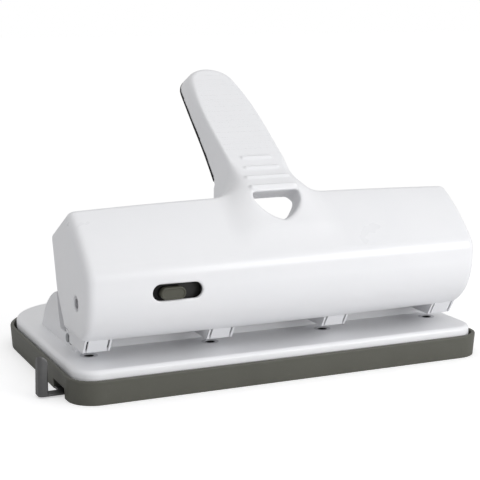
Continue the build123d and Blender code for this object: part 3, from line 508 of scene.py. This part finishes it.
def cover_field(x, y, z, near_handle=True):
    """The whole moulding: barrel, handle, hole, slot, bosses and webs."""
    flat = barrel_section(x, y, z)
    body = common(flat, np.abs(x) - COVER_HALF, END_ROUND)
    solid = solid_field(x, y, z) if near_handle else body
    below = slab(y, -79.0 + 0.35 * (60.0 - z), -28.0 - 0.25 * (60.0 - z)) + 0 * x
    hollow = np.minimum(flat + COVER_WALL, np.maximum(below + COVER_WALL, z - 60.0) + 3 * (z > 52))
    hollow = common(hollow, np.abs(x) - COVER_HALF + COVER_WALL, END_ROUND)
    cover = cut(solid, hollow, 0.8)
    if near_handle:
        liner = common(tunnel_field(x, y, z, 2.5), solid, 1.0)
        cover = join(np.minimum(cover, liner), rib_field(x, y, z), 1.4)
        cover = cut(cover, tunnel_field(x, y, z, 0.0), 2.6)
        along, depth = handle_place(y, z)
        seat = np.maximum(-grip_view.at(y, z), GRIP_START - along)
        cover = cut(cover, np.maximum(seat, 80.0 - z), 0.3)
    web = np.minimum.reduce([slab(np.abs(x), place - WEB_HALF, place + WEB_HALF) for place in WEBS])
    web = np.maximum(web, slab(y, ROD[0] - WEB_REACH, ROD[0] + WEB_REACH))
    web = np.maximum(web, np.maximum(58.0 - z, body + 1.0))
    web = np.maximum(web, ROD_RADIUS - np.hypot(y - ROD[0], z - ROD[1]))
    cover = np.minimum(cover, np.maximum(web, 4.0 - tunnel_field(x, y, z, 2.5)) if near_handle else web)
    pivot = np.hypot(y - PIVOT[0], z - PIVOT[1])
    boss = np.maximum(pivot - BOSS_RADIUS, slab(np.abs(x), BOSS_INNER, COVER_HALF - 1))
    cover = cut(np.minimum(cover, boss), pivot - PIVOT_HOLE, 0.5)
    slot = np.hypot(np.maximum(np.abs(x - SLOT_X) - (SLOT_LENGTH - SLOT_HEIGHT) / 2, 0), z - SLOT_Z)
    return cut(cover, np.maximum(slot - SLOT_HEIGHT / 2, y + 80.0), 1.0)


def grip_field(x, y, z):
    """The soft layer on the handle's back."""
    along, depth = handle_place(y, z)
    seat = np.maximum(-grip_view.at(y, z), GRIP_START - along) + 0.04
    return common(handle_field(x, y, z) - 0.3, seat, 0.5)


# %% [markdown]
# ## From a field to a mesh
# The field is sampled on a grid with narrow rows where the form is fine. Each grid cell that
# the skin passes gets one point, and each grid edge that crosses the skin gets a four-sided
# face between its four cells. The points are then pushed along the slope onto the skin.

# %% Surface net
PUSHES, PUSH_STEP, PUSH_LIMIT, LEAST_SLOPE = 3, 0.05, 0.35, 0.2


def spaced(*runs):
    """Grid positions from runs of (start, end, spacing)."""
    parts = [np.linspace(start, end, max(2, round((end - start) / step) + 1))[:-1]
             for start, end, step in runs]
    return np.concatenate(parts + [[runs[-1][1]]])


def cell_points(values, cells):
    """One point in each cell, at the middle of the places where its edges cross the skin."""
    total, hits = np.zeros((len(cells), 3)), np.zeros(len(cells))
    for axis in range(3):
        step = np.eye(3, dtype=int)[axis]
        others = [np.eye(3, dtype=int)[index] for index in range(3) if index != axis]
        for a in (0, 1):
            for b in (0, 1):
                start = cells + a * others[0] + b * others[1]
                first, second = values[tuple(start.T)], values[tuple((start + step).T)]
                crossed = (first < 0) != (second < 0)
                share = np.where(crossed, first / np.where(crossed, first - second, 1), 0)
                total += np.where(crossed[:, None], start + share[:, None] * step, 0)
                hits += crossed
    return total / hits[:, None]


def net_faces(inside, index):
    """Four-sided faces round every grid edge that crosses the skin, facing outward."""
    faces = []
    for axis in range(3):
        turned = np.moveaxis(inside, [axis, (axis + 1) % 3, (axis + 2) % 3], [0, 1, 2])
        cells = np.moveaxis(index, [axis, (axis + 1) % 3, (axis + 2) % 3], [0, 1, 2])
        crossed = turned[:-1] != turned[1:]
        i, j, k = np.nonzero(crossed[:, 1:-1, 1:-1])
        quads = np.stack([cells[i, j + 1, k + 1], cells[i, j, k + 1], cells[i, j, k], cells[i, j + 1, k]], 1)
        outward = turned[i, j + 1, k + 1]
        faces.append(np.where(outward[:, None], quads, quads[:, ::-1]))
    return np.concatenate(faces)


def skin_of(name, field, axes, slabs):
    """Mesh a field over a grid; slabs gives the values, the field itself places the points."""
    values = slabs(*axes)
    inside = values < 0
    corners = [inside[a:a - 1 or None, b:b - 1 or None, c:c - 1 or None].astype(np.int8)
               for a in (0, 1) for b in (0, 1) for c in (0, 1)]
    count = sum(corners)
    active = (count > 0) & (count < 8)
    index = np.full(active.shape, -1)
    index[active] = np.arange(active.sum())
    spots = cell_points(values, np.argwhere(active))
    places = np.stack([np.interp(spots[:, axis], np.arange(len(line)), line)
                       for axis, line in enumerate(axes)])
    for _ in range(PUSHES):
        here = field(*places)
        steps = PUSH_STEP * np.eye(3)
        slope = np.stack([field(*(places + step[:, None])) - here for step in steps]) / PUSH_STEP
        move = here * slope / np.maximum((slope ** 2).sum(axis=0), LEAST_SLOPE)
        places -= np.clip(move, -PUSH_LIMIT, PUSH_LIMIT)
    faces = net_faces(inside, index)
    mesh = bpy.data.meshes.new(name)
    mesh.from_pydata((places.T * MM).tolist(), [], faces.tolist())
    mesh.shade_smooth()
    piece = bpy.data.objects.new(name, mesh)
    bpy.context.collection.objects.link(piece)
    print(name, len(places), "points", len(faces), "faces")
    return piece


# %% The cover's skin
def cover_slabs(xs, ys, zs):
    """The cover's field on the grid; the handle is left out where it is far away."""
    parts = []
    for start in range(0, len(xs), 20):
        x = xs[start:start + 20, None, None]
        parts.append(cover_field(x, ys[None, :, None], zs[None, None, :], np.abs(x).min() < 70))
    return np.concatenate(parts)


half_rows = [(0.0, 48.0, 0.8), (48.0, 62.0, 2.0), (62.0, 66.0, 0.8), (66.0, 94.0, 2.8), (94.0, 98.0, 0.8),
             (98.0, 124.8, 2.5), (124.8, 133.6, 0.7)]
right_rows = spaced(*half_rows)
slot_rows = spaced((-94.0, -60.0, 0.85))
rows = np.concatenate([-right_rows[::-1], right_rows[1:]])
rows = np.sort(np.concatenate([rows[(rows < -94.5) | (rows > -59.5)], slot_rows]))
cover_axes = (rows, spaced((-101.0, -76.0, 0.9), (-76.0, -30.0, 0.65), (-30.0, 59.0, 0.9)),
              spaced((32.6, 108.0, 0.95), (108.0, 142.0, 0.65), (142.0, 188.0, 0.9)))
cover_skin = skin_of("cover_skin", cover_field, cover_axes, cover_slabs)
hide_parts("lever_cover")
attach(cover_skin, "lever")
cover_skin.data.materials.append(finishes["cover_plastic"])

# %% The grip's skin
grip_axes = (spaced((-26.5, 26.5, 0.8)), spaced((-32.0, 60.0, 0.55)), spaced((108.0, 188.0, 0.55)))
grip_skin = skin_of("grip_skin", grip_field, grip_axes,
                    lambda x, y, z: grip_field(x[:, None, None], y[None, :, None], z[None, None, :]))
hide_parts("handle_grip")
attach(grip_skin, "lever")
grip_skin.data.materials.append(finishes["grip_rubber"])

# %% [markdown]
# ## The base plate
# The plate is a tray of sheet steel turned upside down. Its outline is a loop of straight
# sides and round corners. The same loop, moved in and raised step by step, makes the skirt,
# the rolled edge and the inside, and the flat faces are filled between it and the die holes.

# %% Loops of the plate
PLATE_HALF, PLATE_BACK, PLATE_INSET, PLATE_TOP, PLATE_SKIRT = 141.4, 95.0, 3.9, 20.1, 8.1
PLATE_SHEET, PLATE_ROLL, PLATE_FRONT, PLATE_REAR = 2.0, 2.6, 14.0, 46.0
DIE_ROW, DIE_RADIUS = [(x, -56.0) for x in (-120.0, -40.0, 40.0, 120.0)], 5.5


def plate_loop(inset, z):
    """The plate's outline, moved in by an inset from the tray's side, at a height."""
    corners = ((1, -1, PLATE_FRONT), (1, 1, PLATE_REAR), (-1, 1, PLATE_REAR), (-1, -1, PLATE_FRONT))
    loop = []
    for turn, (side_x, side_y, corner) in enumerate(corners):
        radius = corner + PLATE_INSET - inset
        middle_x, middle_y = PLATE_HALF - inset - radius, PLATE_BACK - inset - radius
        for step in range(17):
            angle = math.radians(90 * (turn - 1 + step / 16))
            loop.append((side_x * middle_x + radius * math.cos(angle),
                         side_y * middle_y + radius * math.sin(angle), z))
    return loop


def plate_edge(inset, roll, top):
    """Insets and heights from the foot of a skirt up and round its roll to the flat."""
    turns = [math.radians(90 * step / 8) for step in range(9)]
    run = [(inset + roll * (1 - math.cos(turn)), top - roll * (1 - math.sin(turn))) for turn in turns]
    return [(inset, PLATE_TOP - PLATE_SKIRT)] + run + [(inset + roll + 0.8, top)]


# %% The plate's mesh
def ring_of(mesh, points):
    """New vertices and the closed ring of edges through them."""
    verts = [mesh.verts.new([value * MM for value in point]) for point in points]
    return verts, [mesh.edges.new(pair) for pair in zip(verts, verts[1:] + verts[:1])]


def wall_between(mesh, first, second):
    for index in range(len(first)):
        mesh.faces.new((first[index - 1], first[index], second[index], second[index - 1]))


plate_mesh = bmesh.new()
inside_edge = plate_edge(PLATE_INSET + PLATE_SHEET, PLATE_ROLL - PLATE_SHEET, PLATE_TOP - PLATE_SHEET)
outside_edge = plate_edge(PLATE_INSET, PLATE_ROLL, PLATE_TOP)
rings = [ring_of(plate_mesh, plate_loop(*place)) for place in inside_edge[::-1] + outside_edge]
for (first, _), (second, _) in zip(rings, rings[1:]):
    wall_between(plate_mesh, first, second)
round_die = [math.tau * step / 32 for step in range(32)]
holes = [[ring_of(plate_mesh, [(x + DIE_RADIUS * math.cos(turn), y + DIE_RADIUS * math.sin(turn), z)
                               for turn in round_die]) for x, y in DIE_ROW]
         for z in (PLATE_TOP - PLATE_SHEET, PLATE_TOP)]
for under, over in zip(*holes):
    wall_between(plate_mesh, under[0], over[0])
for ring, level in ((rings[0], holes[0]), (rings[-1], holes[1])):
    edges = ring[1] + [edge for hole in level for edge in hole[1]]
    bmesh.ops.triangle_fill(plate_mesh, use_beauty=True, edges=edges, normal=(0, 0, 1))
bmesh.ops.recalc_face_normals(plate_mesh, faces=plate_mesh.faces)
plate_data = bpy.data.meshes.new("plate_skin")
plate_mesh.to_mesh(plate_data)
plate_mesh.free()
plate_data.shade_smooth()
plate_data.set_sharp_from_angle(angle=math.radians(35))
plate_skin = bpy.data.objects.new("plate_skin", plate_data)
bpy.context.collection.objects.link(plate_skin)
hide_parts("base_plate")
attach(plate_skin, "frame")
plate_skin.data.materials.append(finishes["white_plate"])
print("plate faces:", len(plate_data.polygons))

# %% [markdown]
# ## The paper guide and the lock
# Both are small enough for a field of their own. The guide's tab is a sheet bent round a soft
# corner, with a large radius at the rear top. The knob is a rounded bar with a shallow dish.

# %% The guide's field
GUIDE_LEFT, GUIDE_RIGHT, GUIDE_FRONT, GUIDE_REAR, GUIDE_SHEET = -155.0, 5.0, -68.0, -52.0, 1.2
GUIDE_TOP, GUIDE_FOOT, GUIDE_BEND, GUIDE_FLANGE, GUIDE_TAB = 25.8, 1.0, 2.0, 5.2, 8.0


def turned_corner(across, up, far, high, radius):
    """A flat end and a flat top that meet in an arc."""
    inner_across, inner_up = across - far + radius, up - high + radius
    curve = np.hypot(inner_across, inner_up) - radius
    return np.where((inner_across > 0) & (inner_up > 0), curve, np.maximum(across - far, up - high))


def guide_field(x, y, z):
    """A flat strip with an upturned tab at its left end and a flange down the tab's front."""
    u, v = x - GUIDE_LEFT - GUIDE_SHEET / 2, y - GUIDE_FRONT - GUIDE_SHEET / 2
    bend = np.abs(np.hypot(u - GUIDE_BEND, v - GUIDE_BEND) - GUIDE_BEND)
    line = np.where((u < GUIDE_BEND) & (v < GUIDE_BEND), bend, np.minimum(np.abs(u), np.abs(v)))
    rear_end = turned_corner(v + 0.08 * z, z, GUIDE_TAB, GUIDE_TOP, 6.0)
    front_end = turned_corner(u, z, GUIDE_FLANGE, GUIDE_TOP, 4.6)
    sheet = common(line - GUIDE_SHEET / 2, np.maximum(rear_end, front_end), 0.3)
    sheet = np.maximum(sheet, GUIDE_FOOT - z)
    corner = common(GUIDE_LEFT - x, GUIDE_FRONT - y, 2.6)
    rear = np.where(x < GUIDE_LEFT + 14.0, GUIDE_FRONT + GUIDE_TAB, GUIDE_REAR)
    edges = np.maximum(np.maximum(corner, x - GUIDE_RIGHT), y - rear)
    strip = common(edges, slab(z, GUIDE_FOOT, GUIDE_FOOT + GUIDE_SHEET), 0.3)
    return np.minimum(sheet, strip)


# %% The lock's field
KNOB = {"x": -80.5, "z": 64.0, "half": 4.15, "radius": 3.7, "front": -98.93, "dish": 0.5, "rim": 1.0}
SLIDE = {"x": (-103.2, -60.7), "y": (-92.3, -90.8), "z": (58.0, 71.2)}


def lock_field(x, y, z):
    """The knob with its dished face, on the slide plate behind the slot."""
    reach = np.maximum(np.abs(x - KNOB["x"]) - KNOB["half"], 0)
    bar = np.hypot(reach, z - KNOB["z"]) - KNOB["radius"]
    knob = common(common(bar, KNOB["front"] - y, 0.8), y - SLIDE["y"][1], 0.1)
    knob = cut(knob, np.maximum(bar + KNOB["rim"], y - KNOB["front"] - KNOB["dish"]), 0.3)
    plate = np.maximum(np.maximum(slab(x, *SLIDE["x"]), slab(y, *SLIDE["y"])), slab(z, *SLIDE["z"]))
    return np.minimum(knob, plate)


# %% Their skins
def small_skin(name, field, axes, node, body, slot):
    """Mesh a small field and put it in its node's place."""
    skin = skin_of(name, field, axes,
                   lambda x, y, z: field(x[:, None, None], y[None, :, None], z[None, None, :]))
    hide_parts(node)
    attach(skin, body)
    skin.data.materials.append(finishes[slot])
    return skin


guide_axes = (spaced((-156.0, -148.0, 0.4), (-148.0, -138.0, 1.0), (-138.0, 4.0, 8.0), (4.0, 6.0, 0.4)),
              spaced((-69.0, -51.0, 0.4)), spaced((0.2, 3.0, 0.3), (3.0, 27.0, 0.5)))
small_skin("guide_skin", guide_field, guide_axes, "paper_guide", "guide", "guide_steel")
lock_axes = (spaced((-104.0, -60.0, 0.35)), spaced((-99.8, -90.0, 0.3)), spaced((57.0, 72.0, 0.35)))
small_skin("lock_skin", lock_field, lock_axes, "lock_button", "lock", "lock_plastic")

# %% [markdown]
# ## Floor, light and camera
# The product stands on white paper. The floor takes the soft shadow, and a little glow that
# only the camera sees lifts it to white, so no extra light falls on the object.

# %% The floor
FLOOR_GLOW = 0.50


def paper_floor():
    finish = Finish("white paper", Specular_IOR_Level=0.1)
    grain = finish.noise(300.0, 4.0, 0.6)
    distance = finish.node("VectorMath", {"operation": "LENGTH"}, {"Vector": finish.place()}, output="Value")
    far = finish.ramp(distance, 0.22, 0.70)
    camera_ray = finish.node("LightPath", output="Is Camera Ray")
    paper = finish.blend(grain, srgb(226, 226, 227), srgb(230, 230, 231))
    finish.feed("Base Color", finish.blend(far * camera_ray, paper, (0, 0, 0, 1)))
    finish.feed("Roughness", 0.85 + 0.1 * grain)
    finish.shader.inputs["Emission Strength"].default_value = 1.0
    glow = FLOOR_GLOW + far * (1.0 - FLOOR_GLOW)
    finish.feed("Emission Color", finish.blend(camera_ray * glow, (0, 0, 0, 1), (1, 1, 1, 1)))
    return finish.material


def quad_mesh(name, corners):
    """A flat sheet through four corners."""
    mesh = bpy.data.meshes.new(name)
    mesh.from_pydata(corners, [], [(0, 1, 2, 3)])
    piece = bpy.data.objects.new(name, mesh)
    bpy.context.collection.objects.link(piece)
    return piece


FLOOR_REACH = 6.0
floor = quad_mesh("floor", [(-FLOOR_REACH, -FLOOR_REACH, 0), (FLOOR_REACH, -FLOOR_REACH, 0),
                            (FLOOR_REACH, FLOOR_REACH, 0), (-FLOOR_REACH, FLOOR_REACH, 0)])
floor.data.materials.append(paper_floor())


# %% Lights
def soft_box(name, place, target, size, power):
    """A square area light that looks at a point."""
    data = bpy.data.lights.new(name, "AREA")
    data.shape, data.size, data.energy = "SQUARE", size, power
    lamp = bpy.data.objects.new(name, data)
    lamp.location = place
    lamp.rotation_euler = (Vector(target) - Vector(place)).to_track_quat("-Z", "Y").to_euler()
    bpy.context.collection.objects.link(lamp)


soft_box("key", (1.0, -1.55, 0.35), (0.0, 0.0, 0.08), 1.3, 21.5)
soft_box("top", (0.1, 0.1, 1.7), (0.0, 0.0, 0.05), 1.6, 3.2)
soft_box("fill", (-1.8, -0.5, 0.8), (0.0, 0.0, 0.08), 1.2, 0.2)

world = bpy.data.worlds.new("studio")
bpy.context.scene.world = world
world.use_nodes = True
sky = world.node_tree
sky_light = sky.nodes["Background"]
sky_light.inputs["Color"].default_value = (1, 1, 1, 1)
sky_light.inputs["Strength"].default_value = 0.56
sky_seen = sky.nodes.new("ShaderNodeBackground")
sky_seen.inputs["Color"].default_value = (1, 1, 1, 1)
sky_seen.inputs["Strength"].default_value = 1.0
sky_path = sky.nodes.new("ShaderNodeLightPath")
sky_mix = sky.nodes.new("ShaderNodeMixShader")
sky.links.new(sky_path.outputs["Is Camera Ray"], sky_mix.inputs["Fac"])
sky.links.new(sky_light.outputs[0], sky_mix.inputs[1])
sky.links.new(sky_seen.outputs[0], sky_mix.inputs[2])
sky.links.new(sky_mix.outputs[0], sky.nodes["World Output"].inputs["Surface"])

# %% The camera
camera_data = bpy.data.cameras.new("camera")
camera_data.lens, camera_data.sensor_width = 97.84, 36.0
camera = bpy.data.objects.new("camera", camera_data)
camera.location = (-0.3481, -0.7955, 0.2375)
camera.rotation_euler = (math.radians(90 - 10.75), 0.0, math.radians(-23.98))
bpy.context.collection.objects.link(camera)
bpy.context.scene.camera = camera
bpy.context.scene.view_settings.view_transform = "Standard"
